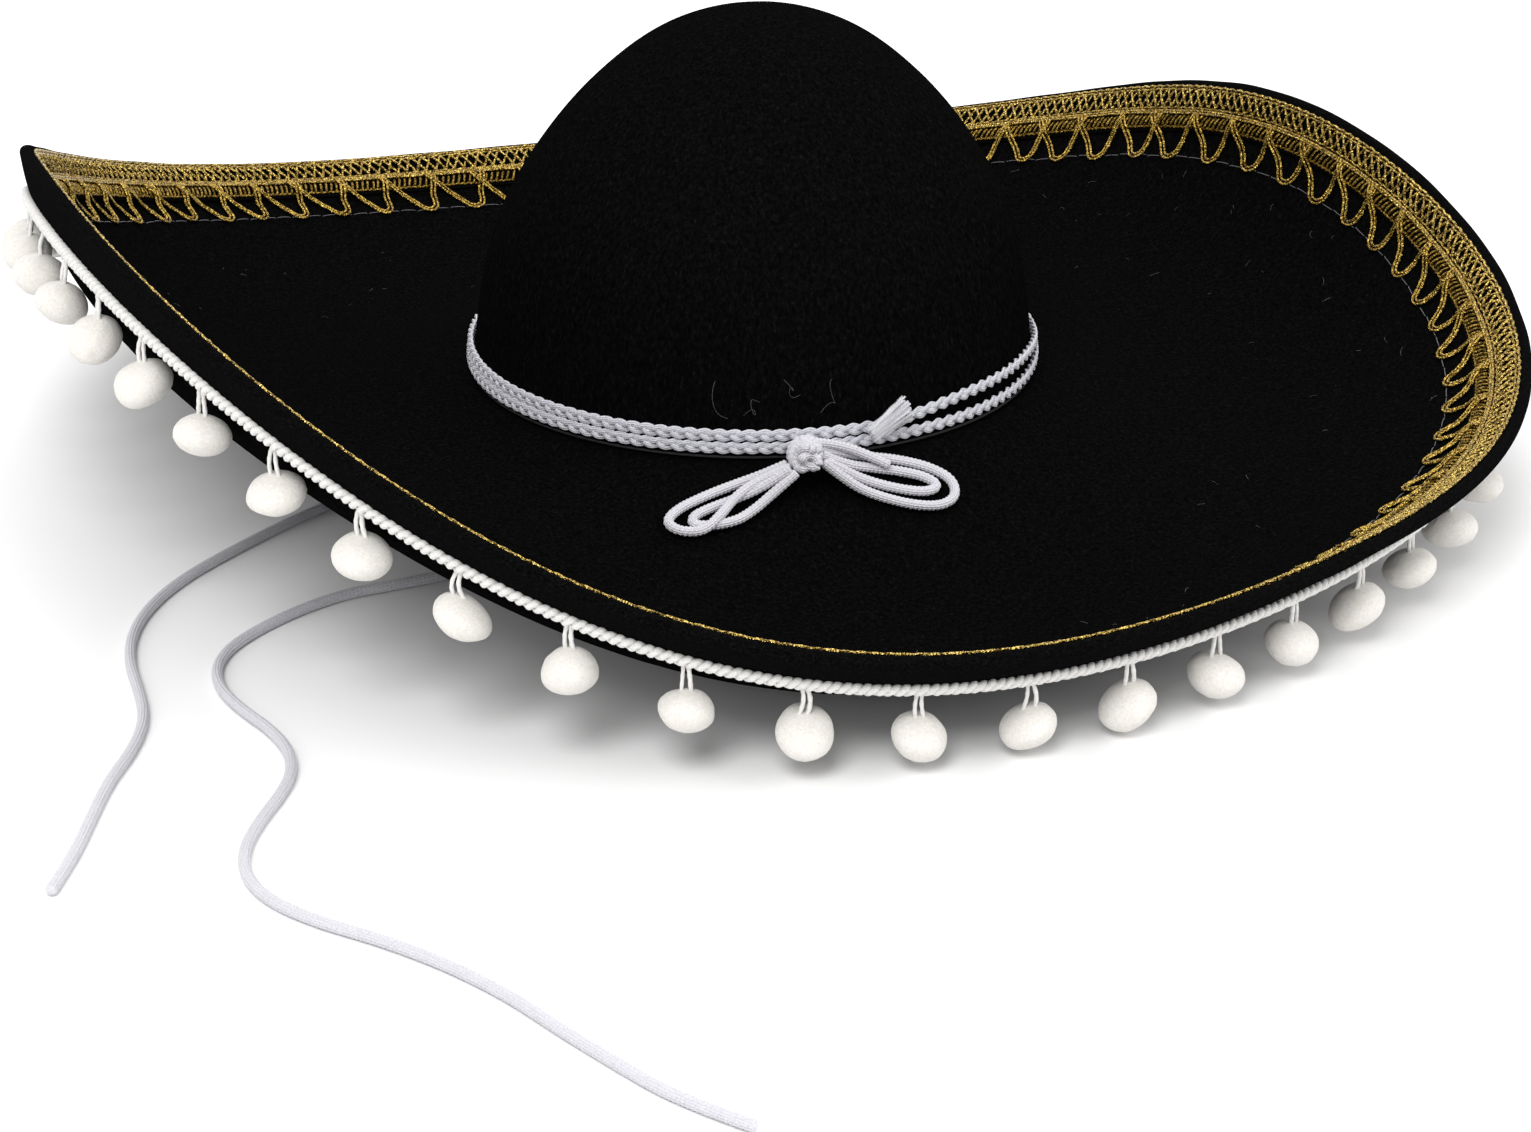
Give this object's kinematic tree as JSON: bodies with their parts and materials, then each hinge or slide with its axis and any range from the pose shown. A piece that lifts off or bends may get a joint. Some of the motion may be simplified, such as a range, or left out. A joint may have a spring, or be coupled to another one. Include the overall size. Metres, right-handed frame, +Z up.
{
  "type": "sombrero",
  "caption": "Wide felt hat with a tall dome crown, wired brim curled up at the sides, gold crochet braid, pompom fringe, plaited band with a bow and two chin cords.",
  "frame": {"origin": "on the table that the brim rests on, under the middle of the crown", "axes": "+Z up out of the top of the crown, -Y towards the front of the hat where the bow sits, +X towards the wearer's left"},
  "size_m": [0.5083, 0.6432, 0.146],
  "materials": {
    "felt_black": "matte needled felt",
    "wire_steel": "drawn steel wire",
    "ferrule_steel": "crimped steel",
    "gold_thread": "metallic lurex thread",
    "stitch_grey": "fine polyester thread",
    "white_cotton": "woven white tape",
    "pompom_wool": "off-white felted pile",
    "white_satin": "silky white cord",
    "clear_tape": "translucent shrunk film",
    "sweatband_cloth": "black woven tape",
    "thread_black": "black sewing thread"
  },
  "bodies": {
    "root": {"crown": "felt_black", "brim": "felt_black", "rim_binding": "felt_black", "rim_wire": "wire_steel", "wire_ferrule": "ferrule_steel", "braid_outer_chain": "gold_thread", "braid_core": "gold_thread", "braid_inner_chain": "gold_thread", "braid_loops": "gold_thread", "loop_stitching": "stitch_grey", "header_tape": "white_cotton", "pompoms": "pompom_wool", "pompom_stems": "white_cotton", "hat_band_lower": "white_satin", "hat_band_upper": "white_satin", "band_knot": "white_satin", "band_end_sleeve": "clear_tape", "bow_loop_left_outer": "white_satin", "bow_loop_left_inner": "white_satin", "bow_loop_right_outer": "white_satin", "bow_loop_right_inner": "white_satin", "bow_tail": "white_satin", "sweatband": "sweatband_cloth", "crown_seam": "thread_black", "cord_tab_left": "sweatband_cloth", "cord_tab_right": "sweatband_cloth", "chin_cord_left": "white_satin", "chin_cord_right": "white_satin"}
  },
  "joints": []
}
